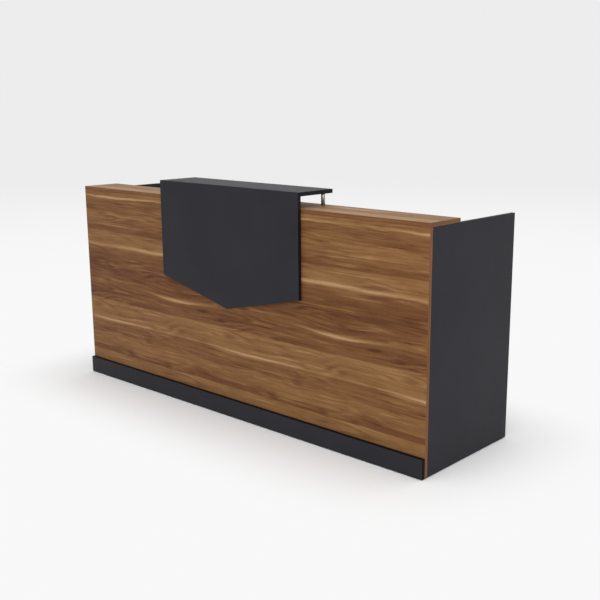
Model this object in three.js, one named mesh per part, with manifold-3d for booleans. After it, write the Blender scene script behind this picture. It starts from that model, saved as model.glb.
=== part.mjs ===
// Reception desk. A walnut front panel and counter cap stand with charcoal end panels, a charcoal
// plinth along the floor and a raised transaction shelf at the middle of the counter. Behind the
// front are a worktop, counter dividers, two knee spaces and a built-in bank of three drawers.
// Millimetres, +Z up. +X is to the right as a visitor faces the desk, and +Y runs to the rear,
// where the receptionist sits. The origin is on the floor, at the middle of the footprint.

import * as THREE from 'three';
import { mergeVertices } from 'three/addons/utils/BufferGeometryUtils.js';
import loadManifold from 'manifold-3d';

// Boards and joints
const BOARD = 18; // thickness of the faced boards
const ARRIS = 1; // eased edge along both faces of a board
const JOINT = 0.3; // assembly clearance between neighbouring pieces

// Shell
const WIDTH = 2300; // over the outer faces of the end panels
const BODY_DEPTH = 630; // face of the front panel to the rear edges of the end panels
const CAP_TOP = 1050; // floor to the top of the counter cap
const CAP_DEPTH = 207; // counter cap, front to rear
const PLINTH_TOP = 90; // floor to the top of the plinth
const PLINTH_BOARD = 18; // thickness of the plinth, which stands proud of the front panel
const GLIDE_HEIGHT = 3; // nylon glides under the panels
const GLIDE_RADIUS = 8;
const GLIDE_CHAMFER = 1;
const GLIDE_INSET = 60; // axis of a glide from the end of its panel's bottom edge

// Riser, the raised transaction shelf with its hanging front
const RISER_WIDTH = 940;
const RISER_CLEAR = 54; // top of the counter cap to the underside of the shelf
const RISER_SIDE_FOOT = 648; // floor to the lower side corners of the hanging front
const RISER_POINT_FOOT = 540; // floor to the point at the middle of the hanging front
const POST_RADIUS = 9;
const POST_CHAMFER = 0.8;
const POST_END_INSET = 20; // axis of a post from the end of the shelf
const POST_REAR_INSET = 42; // axis of a post from the rear edge of the shelf
const BOLT_RADIUS = 3;
const BOLT_HEAD_RADIUS = 6;
const BOLT_HEAD_HEIGHT = 4;
const BOLT_CHAMFER = 1;
const BOLT_GRIP = 11; // length of a bolt inside the shelf
const BOLT_CLEAR = 0.3; // radial clearance round a bolt

// Worktop and what carries it
const WORKTOP_TOP = 740; // floor to the top of the worktop
const WORKTOP_BOARD = 25;
const WORKTOP_INSET = 12; // rear edges of the end panels to the edge of the worktop
const DIVIDER_INSET = 12; // rear edge of the counter cap to the edges of the dividers
const DIVIDERS = ['left', 'centre', 'right'];
const SUPPORT_DEPTH = 400;
const BRACKET_LEG = 40;
const BRACKET_WIDTH = 40;
const BRACKET_GAUGE = 3;
const BRACKET_BEND = 4; // inside radius of the bend
const BRACKET_HOLE_RADIUS = 2.5;
const BRACKET_HOLE_PITCH = 22;
const BRACKET_HOLE_SETBACK = 12; // holes from the end of a leg
const END_BRACKET_INSET = 130; // end brackets from the worktop's front and rear edges

// Cable ports in the worktop
const PORT_RADIUS = 40; // bore in the worktop
const PORT_SETBACK = 80; // axis of a port behind the counter cap's rear edge
const PORT_CLEAR = 0.4; // radial clearance of the liner in its bore
const PORT_WALL = 2;
const PORT_SLEEVE = 22; // reach of the liner below the worktop's top
const PORT_FLANGE_WIDTH = 6; // flange past the bore
const PORT_FLANGE = 3; // height of the flange
const PORT_LEDGE = 3; // width of the ledge that carries the lid
const PORT_LEDGE_DEPTH = 2;
const LID_THICKNESS = 3.5;
const LID_PLAY = 0.5; // radial clearance of the lid in its liner
const LID_EASE = 0.5;
const NOTCH_WIDTH = 20; // cable notch in the rim of the lid
const NOTCH_DEPTH = 18;

// Bank of drawers between the left end panel and the pedestal side
const DRAWER_BAY = 384; // clear width between the two
const DRAWER_INSET = 40; // rear edge of the end panel to the faces of the drawer fronts
const DRAWER_STOP = 2; // drawer fronts to the edges of the carcass
const FRONT_GAP = 3; // gap round the drawer fronts
const SMALL_FRONT = 150; // height of the two upper drawer fronts
const BANK_FOOT = 40; // floor to the underside of the pedestal base
const BANK_BACK_BOARD = 8;
const SERVICE_GAP = 12; // front panel to the pedestal back, for cables
const RAIL_DEPTH = 80;
const BOX_WALL = 12;
const BOX_FLOOR = 8;
const BOX_LIFT = 32; // lower edge of a drawer front to the underside of its box
const BOX_DROP = 32; // upper edge of a drawer front to the rim of its box
const BOX_REAR_GAP = 46; // rear of a box to the pedestal back
const HANDLE_SPACING = 128; // between the axes of the two legs
const HANDLE_REACH = 28; // drawer front to the axis of the grip
const HANDLE_RADIUS = 5;
const HANDLE_BEND = 12;
const HANDLE_DROP = 75; // upper edge of a drawer front to the axis of the grip

// Telescopic runners: a lipped channel on the carcass and a hat section on the drawer
const RUNNER_SPACE = 12.7; // between the carcass and the drawer box
const RUNNER_LENGTH = 450;
const RUNNER_HEIGHT = 35;
const RUNNER_GAUGE = 1.5;
const RUNNER_LIP = 5; // lips of the channel, turned in over the brims of the hat
const RUNNER_PLAY = 0.4; // running clearance between the two members
const RUNNER_LIFT = 40; // underside of a box to the axis of its runners

// Facets round a circle
const ROUND_PORT = 36;
const ROUND_POST = 24;
const ROUND_SMALL = 16;
const ROUND_BEND = 12;
const ROUND_HANDLE = 8;
const HANDLE_STEPS = 30; // along the bow

const FINISH = {
  walnut: { color: 0x7a5739, roughness: 0.45, metalness: 0 },
  charcoal: { color: 0x36353a, roughness: 0.5, metalness: 0 },
  polished_steel: { color: 0xc4c5c8, roughness: 0.15, metalness: 1 },
  zinc_steel: { color: 0xaeb1b3, roughness: 0.4, metalness: 1 },
  drawer_grey: { color: 0x9b9c9e, roughness: 0.6, metalness: 0 },
  black_plastic: { color: 0x1c1c1e, roughness: 0.55, metalness: 0 },
};

// Planes of the desk
const xOuter = WIDTH / 2; // outer faces of the end panels
const xInner = xOuter - BOARD;
const proud = Math.max(BOARD, PLINTH_BOARD) + JOINT; // what stands in front of the front panel
const yFace = proud - (BODY_DEPTH + proud) / 2; // face of the front panel
const yBack = yFace + BOARD;
const yRear = yFace + BODY_DEPTH; // rear edges of the end panels
const yCapRear = yFace + CAP_DEPTH;
const zFoot = GLIDE_HEIGHT + JOINT; // bottom edges of the panels
const zCap = CAP_TOP - BOARD; // underside of the counter cap
const zPanel = zCap - JOINT; // top edges of the panels
const zShelf = CAP_TOP + RISER_CLEAR; // underside of the riser shelf
const zRiser = zShelf + BOARD;
const zWorktop = WORKTOP_TOP - WORKTOP_BOARD; // underside of the worktop
const zCarry = zWorktop - JOINT; // what carries the worktop ends here
const xPost = RISER_WIDTH / 2 - POST_END_INSET;
const yPost = yCapRear - POST_REAR_INSET;
const boltBore = BOLT_RADIUS + BOLT_CLEAR;

// Planes of the drawer bank and the knee spaces beside it
const xBankSide = DRAWER_BAY - xInner; // drawer side of the pedestal side
const xKnee = xBankSide + BOARD; // knee side of the pedestal side
const xSupport = (xKnee + xInner - BOARD) / 2; // left face of the support panel
const xKneeMiddles = { left: (xKnee + xSupport) / 2, right: (xSupport + BOARD + xInner) / 2 };
const yFront = yRear - DRAWER_INSET; // faces of the drawer fronts
const yFrontBack = yFront - BOARD;
const yBank = yFrontBack - DRAWER_STOP; // rear-facing edges of the carcass
const yBankBack = yBack + SERVICE_GAP;
const yBankInner = yBankBack + BANK_BACK_BOARD + JOINT;

const wasm = await loadManifold();
wasm.setup();

const desk = new THREE.Group();

// Placing and shaping

function add(name, finish, geometry, x, y, z) {
  const mesh = new THREE.Mesh(geometry, new THREE.MeshStandardMaterial(FINISH[finish]));
  mesh.name = name;
  mesh.position.set(x, y, z);
  desk.add(mesh);
  return mesh;
}

// Turns a sheet drawn on XY to face along the named axis. Its drawn axes lie on the other two, in
// the order X, Y, Z, and its thickness runs from the origin along +X, -Y or +Z.
const alongX = new THREE.Vector3(1, 0, 0);
const alongY = new THREE.Vector3(0, 1, 0);
const alongZ = new THREE.Vector3(0, 0, 1);
const FACING = {
  x: new THREE.Matrix4().makeBasis(alongY, alongZ, alongX),
  y: new THREE.Matrix4().makeBasis(alongX, alongZ, alongY.clone().negate()),
  z: new THREE.Matrix4(),
};

// An outline with some thickness and eased edges along both faces.
function sheet(outline, thickness, ease, facets) {
  const geometry = new THREE.ExtrudeGeometry(outline, {
    depth: thickness - 2 * ease,
    bevelThickness: ease,
    bevelSize: ease,
    bevelOffset: -ease,
    bevelSegments: 1,
    curveSegments: facets / 2,
  });
  return geometry.translate(0, 0, ease);
}

// A straight length of a section drawn on XY.
function profile(outline, length) {
  return new THREE.ExtrudeGeometry(outline, {
    depth: length,
    bevelEnabled: false,
    curveSegments: ROUND_BEND / 4,
  });
}

function polygon(points) {
  return new THREE.Shape(points.map(([x, y]) => new THREE.Vector2(x, y)));
}

// A rectangular board between two corners. Bores are [across, up, radius] on its drawn face.
function board(name, finish, facing, low, high, bores = [], facets = ROUND_SMALL) {
  const size = high.map((end, axis) => end - low[axis]);
  const across = 'xyz'.indexOf(facing);
  const [width, height] = size.filter((length, axis) => axis !== across);
  const outline = polygon([[0, 0], [width, 0], [width, height], [0, height]]);
  for (const [x, y, radius] of bores) {
    outline.holes.push(new THREE.Path().absarc(x, y, radius, 0, 2 * Math.PI));
  }
  const geometry = sheet(outline, size[across], ARRIS, facets).applyMatrix4(FACING[facing]);
  add(name, finish, geometry, low[0], facing === 'y' ? high[1] : low[1], low[2]);
}

// A round piece about Z, from [radius, height] points that run up its outer side.
function turned(points, segments) {
  const outline = points.map(([radius, height]) => new THREE.Vector2(radius, height));
  return new THREE.LatheGeometry(outline, segments).rotateX(Math.PI / 2);
}

function solid(geometry) {
  const bare = geometry.clone();
  bare.deleteAttribute('normal');
  bare.deleteAttribute('uv');
  const merged = mergeVertices(bare);
  const vertProperties = merged.attributes.position.array;
  const triVerts = new Uint32Array(merged.index.array);
  return new wasm.Manifold(new wasm.Mesh({ numProp: 3, vertProperties, triVerts }));
}

function cut(geometry, tools) {
  const rest = tools.reduce((body, tool) => body.subtract(solid(tool)), solid(geometry));
  const { vertProperties, triVerts } = rest.getMesh();
  const result = new THREE.BufferGeometry();
  result.setAttribute('position', new THREE.BufferAttribute(vertProperties, 3));
  result.setIndex(new THREE.BufferAttribute(triVerts, 1));
  result.computeVertexNormals();
  return result;
}

// Shell

function makeShell() {
  board('front_panel', 'walnut', 'y', [-xOuter, yFace, zFoot], [xOuter, yBack, zPanel]);
  const ends = { left: [-xOuter, -xInner], right: [xInner, xOuter] };
  for (const [side, [low, high]] of Object.entries(ends)) {
    board(`${side}_end_panel`, 'charcoal', 'x', [low, yBack + JOINT, zFoot], [high, yRear, zPanel]);
  }
  const bores = [-xPost, xPost].map((x) => [xOuter + x, yPost - yFace, boltBore]);
  board('counter_cap', 'walnut', 'z', [-xOuter, yFace, zCap], [xOuter, yCapRear, CAP_TOP], bores);
  const plinthLow = [-xOuter, yFace - JOINT - PLINTH_BOARD, zFoot];
  board('plinth', 'charcoal', 'y', plinthLow, [xOuter, yFace - JOINT, PLINTH_TOP]);
}

// Riser: the shelf butts against the back of its hanging front and stands on two sleeves. A bolt
// runs up through the counter cap and each sleeve into a blind bore in the shelf.

function makeRiser() {
  const half = RISER_WIDTH / 2;
  const front = polygon([
    [-half, RISER_SIDE_FOOT],
    [0, RISER_POINT_FOOT],
    [half, RISER_SIDE_FOOT],
    [half, zRiser],
    [-half, zRiser],
  ]);
  const hanging = sheet(front, BOARD, ARRIS, ROUND_SMALL).applyMatrix4(FACING.y);
  add('riser_front', 'charcoal', hanging, 0, yFace - JOINT, 0);

  const top = polygon([[-half, 0], [half, 0], [half, CAP_DEPTH], [-half, CAP_DEPTH]]);
  const boreDepth = BOLT_GRIP + JOINT;
  const bores = [-xPost, xPost].map((x) => {
    const bore = new THREE.CylinderGeometry(boltBore, boltBore, 2 * boreDepth, ROUND_SMALL);
    return bore.rotateX(Math.PI / 2).translate(x, yPost - yFace, 0);
  });
  add('riser_top', 'charcoal', cut(sheet(top, BOARD, ARRIS, ROUND_SMALL), bores), 0, yFace, zShelf);

  const post = turned([
    [boltBore, 0],
    [POST_RADIUS - POST_CHAMFER, 0],
    [POST_RADIUS, POST_CHAMFER],
    [POST_RADIUS, RISER_CLEAR - 2 * JOINT - POST_CHAMFER],
    [POST_RADIUS - POST_CHAMFER, RISER_CLEAR - 2 * JOINT],
    [boltBore, RISER_CLEAR - 2 * JOINT],
    [boltBore, 0],
  ], ROUND_POST);
  const boltTip = JOINT + BOARD + RISER_CLEAR + BOLT_GRIP;
  const bolt = turned([
    [0, -BOLT_HEAD_HEIGHT],
    [BOLT_HEAD_RADIUS - BOLT_CHAMFER, -BOLT_HEAD_HEIGHT],
    [BOLT_HEAD_RADIUS, BOLT_CHAMFER - BOLT_HEAD_HEIGHT],
    [BOLT_HEAD_RADIUS, 0],
    [BOLT_RADIUS, 0],
    [BOLT_RADIUS, boltTip - BOLT_CHAMFER],
    [BOLT_RADIUS - BOLT_CHAMFER, boltTip],
    [0, boltTip],
  ], ROUND_SMALL);
  for (const [side, x] of [['left', -xPost], ['right', xPost]]) {
    add(`riser_post_${side}`, 'polished_steel', post.clone(), x, yPost, CAP_TOP + JOINT);
    add(`riser_bolt_${side}`, 'zinc_steel', bolt.clone(), x, yPost, zCap - JOINT);
  }
}

// Worktop, the dividers that stand on it under the counter cap, and the support panel below it

function makeWorktop() {
  const low = [-xInner + JOINT, yBack + JOINT, zWorktop];
  const high = [xInner - JOINT, yRear - WORKTOP_INSET, WORKTOP_TOP];
  const yPort = yCapRear + PORT_SETBACK;
  const bores = Object.values(xKneeMiddles).map((x) => [x - low[0], yPort - low[1], PORT_RADIUS]);
  board('worktop', 'walnut', 'z', low, high, bores, ROUND_PORT);

  const bay = (2 * xInner) / (DIVIDERS.length + 1);
  DIVIDERS.forEach((place, index) => {
    const x = (index + 1) * bay - xInner - BOARD / 2;
    const foot = [x, yBack + JOINT, WORKTOP_TOP + JOINT];
    board(`divider_${place}`, 'charcoal', 'x', foot, [x + BOARD, yCapRear - DIVIDER_INSET, zPanel]);
  });

  const ySupport = yBack + JOINT;
  const supportHigh = [xSupport + BOARD, ySupport + SUPPORT_DEPTH, zCarry];
  board('support_panel', 'charcoal', 'x', [xSupport, ySupport, zFoot], supportHigh);

  for (const [side, x] of Object.entries(xKneeMiddles)) {
    makePort(side, x, yPort);
    addBracket(`bracket_front_${side}`, x, yBack + JOINT, 0);
  }
  addBracket('bracket_support', xSupport + BOARD + JOINT, ySupport + SUPPORT_DEPTH / 2, -Math.PI / 2);
  addBracket('bracket_end_front', xInner - JOINT, low[1] + END_BRACKET_INSET, Math.PI / 2);
  addBracket('bracket_end_rear', xInner - JOINT, high[1] - END_BRACKET_INSET, Math.PI / 2);
}

// A bent strip under the worktop. Its upper leg points along +Y before it is turned about Z.
function addBracket(name, x, y, turn) {
  const bend = BRACKET_BEND + BRACKET_GAUGE;
  const outline = new THREE.Shape();
  outline.moveTo(0, -BRACKET_LEG);
  outline.lineTo(0, -bend);
  outline.absarc(bend, -bend, bend, Math.PI, Math.PI / 2, true);
  outline.lineTo(BRACKET_LEG, 0);
  outline.lineTo(BRACKET_LEG, -BRACKET_GAUGE);
  outline.lineTo(bend, -BRACKET_GAUGE);
  outline.absarc(bend, -bend, BRACKET_BEND, Math.PI / 2, Math.PI, false);
  outline.lineTo(BRACKET_GAUGE, -BRACKET_LEG);
  const strip = profile(outline, BRACKET_WIDTH).applyMatrix4(FACING.x);
  strip.translate(-BRACKET_WIDTH / 2, 0, 0);

  const reach = BRACKET_LEG - BRACKET_HOLE_SETBACK;
  const holes = [-BRACKET_HOLE_PITCH / 2, BRACKET_HOLE_PITCH / 2].flatMap((across) => {
    const hole = new THREE.CylinderGeometry(
      BRACKET_HOLE_RADIUS, BRACKET_HOLE_RADIUS, 4 * BRACKET_GAUGE, ROUND_SMALL);
    const upright = hole.clone().rotateX(Math.PI / 2);
    return [hole.translate(across, 0, -reach), upright.translate(across, reach, 0)];
  });
  add(name, 'zinc_steel', cut(strip, holes), x, y, zCarry).rotation.z = turn;
}

// Cable port: a flanged liner in the worktop's bore, and a notched lid that turns on its ledge

function makePort(side, x, y) {
  const outer = PORT_RADIUS - PORT_CLEAR;
  const inner = outer - PORT_WALL;
  const rim = PORT_RADIUS + PORT_FLANGE_WIDTH;
  const top = JOINT + PORT_FLANGE;
  const ledge = top - LID_THICKNESS - JOINT;
  const liner = turned([
    [inner, -PORT_SLEEVE],
    [outer, -PORT_SLEEVE],
    [outer, JOINT],
    [rim, JOINT],
    [rim, top - LID_EASE],
    [rim - LID_EASE, top],
    [inner, top],
    [inner, ledge],
    [inner - PORT_LEDGE, ledge],
    [inner - PORT_LEDGE, ledge - PORT_LEDGE_DEPTH],
    [inner, ledge - PORT_LEDGE_DEPTH],
    [inner, -PORT_SLEEVE],
  ], ROUND_PORT);
  add(`port_liner_${side}`, 'black_plastic', liner, x, y, WORKTOP_TOP);

  const radius = inner - LID_PLAY;
  const notch = NOTCH_WIDTH / 2;
  const mouth = Math.asin(notch / radius);
  const notchCentre = NOTCH_DEPTH - notch - radius;
  const outline = new THREE.Shape();
  outline.absarc(0, 0, radius, mouth - Math.PI / 2, 1.5 * Math.PI - mouth, false);
  outline.absarc(0, notchCentre, notch, Math.PI, 0, true);
  const lid = sheet(outline, LID_THICKNESS, LID_EASE, ROUND_PORT);
  add(`port_lid_${side}`, 'black_plastic', lid, x, y, WORKTOP_TOP + ledge + JOINT);
}

// Drawer bank: the left end panel is its outer wall

function makeBank() {
  const left = -xInner + JOINT;
  const right = xBankSide - JOINT;
  board('pedestal_side', 'charcoal', 'x', [xBankSide, yBankBack, zFoot], [xKnee, yBank, zCarry]);
  const base = BANK_FOOT + BOARD;
  board('pedestal_base', 'charcoal', 'z', [left, yBankInner, BANK_FOOT], [right, yBank, base]);
  const backHigh = [right, yBankBack + BANK_BACK_BOARD, zCarry];
  board('pedestal_back', 'charcoal', 'y', [left, yBankBack, BANK_FOOT], backHigh);
  const rails = { front: yBank - RAIL_DEPTH, rear: yBankInner };
  for (const [place, y] of Object.entries(rails)) {
    const railHigh = [right, y + RAIL_DEPTH, zCarry];
    board(`pedestal_rail_${place}`, 'charcoal', 'z', [left, y, zCarry - BOARD], railHigh);
  }

  const top = zWorktop - FRONT_GAP;
  const middle = top - SMALL_FRONT - FRONT_GAP;
  const lower = middle - SMALL_FRONT - FRONT_GAP;
  makeDrawer('upper', top - SMALL_FRONT, top);
  makeDrawer('middle', middle - SMALL_FRONT, middle);
  makeDrawer('lower', BANK_FOOT, lower);
}

function makeDrawer(place, zLow, zHigh) {
  const left = -xInner + FRONT_GAP;
  board(`drawer_front_${place}`, 'walnut', 'y', [left, yFrontBack, zLow], [xKnee, yFront, zHigh]);

  const width = DRAWER_BAY - 2 * RUNNER_SPACE;
  const yBox = yFrontBack - JOINT;
  const length = yBox - yBankBack - BANK_BACK_BOARD - BOX_REAR_GAP;
  const height = zHigh - BOX_DROP - zLow - BOX_LIFT;
  const block = new THREE.BoxGeometry(width, length, height);
  const hollow = new THREE.BoxGeometry(width - 2 * BOX_WALL, length - 2 * BOX_WALL, height);
  const box = cut(block, [hollow.translate(0, 0, BOX_FLOOR)]).translate(0, -length / 2, height / 2);
  const zBox = zLow + BOX_LIFT;
  add(`drawer_box_${place}`, 'drawer_grey', box, DRAWER_BAY / 2 - xInner, yBox, zBox);

  const xHandle = (left + xKnee) / 2;
  const zHandle = zHigh - HANDLE_DROP;
  add(`drawer_handle_${place}`, 'polished_steel', bowHandle(), xHandle, yFront + JOINT, zHandle);

  const zRunner = zBox + RUNNER_LIFT;
  addRunners(`runner_channel_${place}`, channelSection(), yBank, zRunner);
  addRunners(`runner_slide_${place}`, slideSection(), yBox, zRunner);
}

// A round bar bent to a bow, with its two feet on the drawer front.
function bowHandle() {
  const side = HANDLE_SPACING / 2;
  const bent = HANDLE_REACH - HANDLE_BEND;
  const at = (x, y) => new THREE.Vector3(x, y, 0);
  const leftGrip = at(HANDLE_BEND - side, HANDLE_REACH);
  const rightGrip = at(side - HANDLE_BEND, HANDLE_REACH);
  const bow = new THREE.CurvePath();
  bow.add(new THREE.LineCurve3(at(-side, 0), at(-side, bent)));
  bow.add(new THREE.QuadraticBezierCurve3(at(-side, bent), at(-side, HANDLE_REACH), leftGrip));
  bow.add(new THREE.LineCurve3(leftGrip, rightGrip));
  bow.add(new THREE.QuadraticBezierCurve3(rightGrip, at(side, HANDLE_REACH), at(side, bent)));
  bow.add(new THREE.LineCurve3(at(side, bent), at(side, 0)));
  const bar = new THREE.Shape().absarc(0, 0, HANDLE_RADIUS, 0, 2 * Math.PI);
  return new THREE.ExtrudeGeometry(bar, {
    extrudePath: bow,
    steps: HANDLE_STEPS,
    bevelEnabled: false,
    curveSegments: ROUND_HANDLE / 2,
  });
}

// Runner sections lie on XY, from the carcass at x = 0 to the drawer at x = runnerDepth. The brims of
// the drawer's hat section turn back on themselves, inside the lips of the carcass's channel.

const runnerDepth = RUNNER_SPACE - 2 * JOINT;
const channelMouth = runnerDepth - RUNNER_GAUGE - RUNNER_PLAY;

function mirroredSection(upperHalf) {
  const lowerHalf = upperHalf.map(([x, y]) => [x, -y]).reverse();
  return polygon([...upperHalf, ...lowerHalf]);
}

function channelSection() {
  const edge = RUNNER_HEIGHT / 2;
  const inside = edge - RUNNER_GAUGE;
  const lip = inside - RUNNER_LIP;
  return mirroredSection([
    [RUNNER_GAUGE, inside],
    [channelMouth - RUNNER_GAUGE, inside],
    [channelMouth - RUNNER_GAUGE, lip],
    [channelMouth, lip],
    [channelMouth, edge],
    [0, edge],
  ]);
}

function slideSection() {
  const back = RUNNER_GAUGE + RUNNER_PLAY;
  const brim = RUNNER_HEIGHT / 2 - RUNNER_GAUGE - RUNNER_PLAY;
  const leg = brim - RUNNER_LIP;
  const returned = channelMouth - RUNNER_GAUGE - RUNNER_PLAY;
  return mirroredSection([
    [runnerDepth - RUNNER_GAUGE, leg - RUNNER_GAUGE],
    [back, leg - RUNNER_GAUGE],
    [back, brim],
    [returned, brim],
    [returned, brim - RUNNER_GAUGE],
    [back + RUNNER_GAUGE, brim - RUNNER_GAUGE],
    [back + RUNNER_GAUGE, leg],
    [runnerDepth, leg],
  ]);
}

// One member on each side of a drawer. The sections are alike above and below, so half a turn about
// Y gives the right-hand one.
function addRunners(name, section, yEnd, z) {
  const sides = { left: [JOINT - xInner, 0], right: [xBankSide - JOINT, Math.PI] };
  for (const [side, [x, turn]] of Object.entries(sides)) {
    const member = profile(section, RUNNER_LENGTH).applyMatrix4(FACING.y);
    add(`${name}_${side}`, 'zinc_steel', member, x, yEnd, z).rotation.y = turn;
  }
}

// Nylon glides, two under each panel that stands on the floor

function makeGlides() {
  const glide = turned([
    [0, 0],
    [GLIDE_RADIUS - GLIDE_CHAMFER, 0],
    [GLIDE_RADIUS, GLIDE_CHAMFER],
    [GLIDE_RADIUS, GLIDE_HEIGHT],
    [0, GLIDE_HEIGHT],
  ], ROUND_SMALL);
  const ySeat = yBack + JOINT;
  const feet = {
    left: [BOARD / 2 - xOuter, ySeat, yRear],
    pedestal: [xBankSide + BOARD / 2, yBankBack, yBank],
    support: [xSupport + BOARD / 2, ySeat, ySeat + SUPPORT_DEPTH],
    right: [xOuter - BOARD / 2, ySeat, yRear],
  };
  for (const [panel, [x, yLow, yHigh]] of Object.entries(feet)) {
    add(`glide_${panel}_front`, 'black_plastic', glide.clone(), x, yLow + GLIDE_INSET, 0);
    add(`glide_${panel}_rear`, 'black_plastic', glide.clone(), x, yHigh - GLIDE_INSET, 0);
  }
}

makeShell();
makeRiser();
makeWorktop();
makeBank();
makeGlides();

export default desk;
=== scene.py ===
"""Dressing of a reception desk in walnut and charcoal faced board.

The solids of the desk are the frame. Boards get worked arrises and edging, hardware gets its
fixings, and every finish is mixed from procedural textures in metres.
"""

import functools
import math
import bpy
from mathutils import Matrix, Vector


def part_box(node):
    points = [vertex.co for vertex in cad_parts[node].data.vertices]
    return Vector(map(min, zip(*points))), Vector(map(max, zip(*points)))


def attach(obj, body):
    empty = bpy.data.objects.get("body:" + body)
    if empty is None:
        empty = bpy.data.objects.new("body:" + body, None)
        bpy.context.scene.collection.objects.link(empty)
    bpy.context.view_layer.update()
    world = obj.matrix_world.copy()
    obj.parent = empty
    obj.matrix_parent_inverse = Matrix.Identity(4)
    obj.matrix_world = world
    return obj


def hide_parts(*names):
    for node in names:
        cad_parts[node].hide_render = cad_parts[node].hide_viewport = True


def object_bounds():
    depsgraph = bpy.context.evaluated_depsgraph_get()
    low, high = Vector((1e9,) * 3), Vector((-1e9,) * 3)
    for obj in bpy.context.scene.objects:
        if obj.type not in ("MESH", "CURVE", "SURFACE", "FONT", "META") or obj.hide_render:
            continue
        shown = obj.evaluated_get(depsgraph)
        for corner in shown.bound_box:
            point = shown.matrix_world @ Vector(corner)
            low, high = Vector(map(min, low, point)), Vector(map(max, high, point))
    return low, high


bl_info = {
    "name": "Reception Desk Finishes",
    "version": (1, 0, 0),
    "blender": (4, 5, 0),
    "location": "3D View > Sidebar > Reception Desk",
    "description": "Boards, hardware, finishes and stage of a reception desk",
    "category": "Object",
}

from typing import NamedTuple

import bmesh
import bpy
from bpy.props import FloatProperty, FloatVectorProperty, IntProperty, PointerProperty
from mathutils import Matrix, Vector

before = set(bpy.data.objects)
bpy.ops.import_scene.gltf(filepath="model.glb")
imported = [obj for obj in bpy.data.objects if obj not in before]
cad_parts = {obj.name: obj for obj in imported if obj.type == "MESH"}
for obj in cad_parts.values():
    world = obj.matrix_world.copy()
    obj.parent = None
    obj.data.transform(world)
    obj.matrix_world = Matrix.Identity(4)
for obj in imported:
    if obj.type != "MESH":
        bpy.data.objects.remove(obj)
CAD_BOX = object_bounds()

X, Y, Z = range(3)
FACE, EDGE, ARRIS = range(3)  # order of the finishes of a board
SIDES = ("left", "right")
DRAWERS = ("upper", "middle", "lower")
NEAR = 1e-4  # a point of a solid within this distance of a face lies on it

# Tones of the walnut, from 0 for the darkest heartwood to 1 for the palest sapwood.
DARK, BROWN, WARM, TAN, PALE, SAP = 0.12, 0.23, 0.35, 0.47, 0.60, 0.78

# Staves of the walnut decor from the top of one repeat down: width in metres, then the tones at
# the upper and at the lower edge.
STAVES = (
    (0.012, PALE, PALE),
    (0.080, WARM, WARM),
    (0.075, TAN, WARM),
    (0.030, BROWN, BROWN),
    (0.065, TAN, TAN),
    (0.020, PALE, SAP),
    (0.060, WARM, BROWN),
    (0.045, BROWN, BROWN),
    (0.055, DARK, BROWN),
    (0.050, BROWN, WARM),
    (0.085, BROWN, BROWN),
    (0.095, TAN, TAN),
)
STAVE_TOP = 1.016  # height on the front panel at which a repeat of the decor starts
STAVE_SEAM = 0.0025  # softness of the change from one stave to the next

# Tones added to that of the stave.
PAINTED_TOP_LIGHT = 0.30  # painted top light: a paler tone on lying boards, standing in for the light from above
WISP_TONE = 0.30
STAIN_TONE = -0.20
PORE_TONE = -0.16
KNOT_TONE = -0.40

EDGING_TONE = 0.28  # middle tone of the printed edging, which has no staves


class PaleStreak(NamedTuple):
    """A pale streak in the decor that swells at its middle, with the grain sagging round it."""

    along: float  # middle along the grain
    height: float  # height on the front panel, before the sag
    span: float  # half length
    reach: float  # of the sag, above and below the streak
    sag: float
    width: float  # half width at the middle
    tone: float  # added to the tone of the stave


PALE_STREAKS = (
    PaleStreak(along=-0.40, height=0.533, span=0.19, reach=0.055, sag=0.018, width=0.011, tone=0.70),
    PaleStreak(along=0.15, height=1.010, span=0.28, reach=0.045, sag=0.009, width=0.006, tone=0.42),
    PaleStreak(along=-0.42, height=0.744, span=0.32, reach=0.040, sag=0.0, width=0.009, tone=0.28),
)
STREAK_TIP = 0.0012  # half width of a pale streak at its ends

# A dark knot: its middle along the grain, its height on the front panel and its half sizes.
KNOT_ALONG, KNOT_HEIGHT = -0.195, 0.501
KNOT_SPAN, KNOT_WIDTH = 0.034, 0.0075

POST_EASE = 0.0008  # rounding at the ends of a post

# Cable ports: a liner with a flange on the worktop and a ledge that carries the notched lid.
BORE_PLAY = 0.0004  # between the sleeve of a liner and its bore in the worktop
LINER_WALL = 0.002
FLANGE_RISE = 0.003
FLANGE_EASE = 0.0003
RIM_ROUND = ((0.0, 0.0014), (0.0006, 0.0005), (0.0022, 0.0))  # in from the rim, down from the top
MOUTH_EASE = 0.0006
LEDGE_DROP = 0.0038  # from the top of the flange
LEDGE_REACH = 0.003
LEDGE_DEPTH = 0.002
NOTCH_RADIUS = 0.010
NOTCH_DEPTH = 0.018
NOTCH_STEPS = 15
LID_ARRIS = 0.0005

BOX_WALL = 0.012  # of a drawer box
BOX_FLOOR = 0.008
FRONT_SCREWS = 0.1  # screws of a drawer front, from the middle of its box
SCREW_ROWS = {"upper": (0.5,), "middle": (0.5,), "lower": (0.25, 0.75)}  # shares of the box's height
HANDLE_BEND = 0.012  # radius on the middle line of the bar
BEND_STEPS = 8

# Brackets, with the direction of the upper leg, and the places of their screws.
BRACKETS = {
    "bracket_front_left": (0, 1, 0),
    "bracket_front_right": (0, 1, 0),
    "bracket_support": (1, 0, 0),
    "bracket_end_front": (-1, 0, 0),
    "bracket_end_rear": (-1, 0, 0),
}
BRACKET_GAUGE = 0.003
BRACKET_PITCH = 0.022  # between the two screws of a leg
BRACKET_REACH = 0.028  # from the bend to the screws

# Panels with cover caps: the side that they face along X, their heights along the front joint and
# their distances from the front along the top joint.
CAPPED_PANELS = (
    ("left_end_panel", 1, (0.88,), (0.09, 0.16)),
    ("right_end_panel", -1, (0.15, 0.45, 0.88), (0.09, 0.16)),
    ("support_panel", 1, (0.15, 0.45), (0.10, 0.32)),
)

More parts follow.
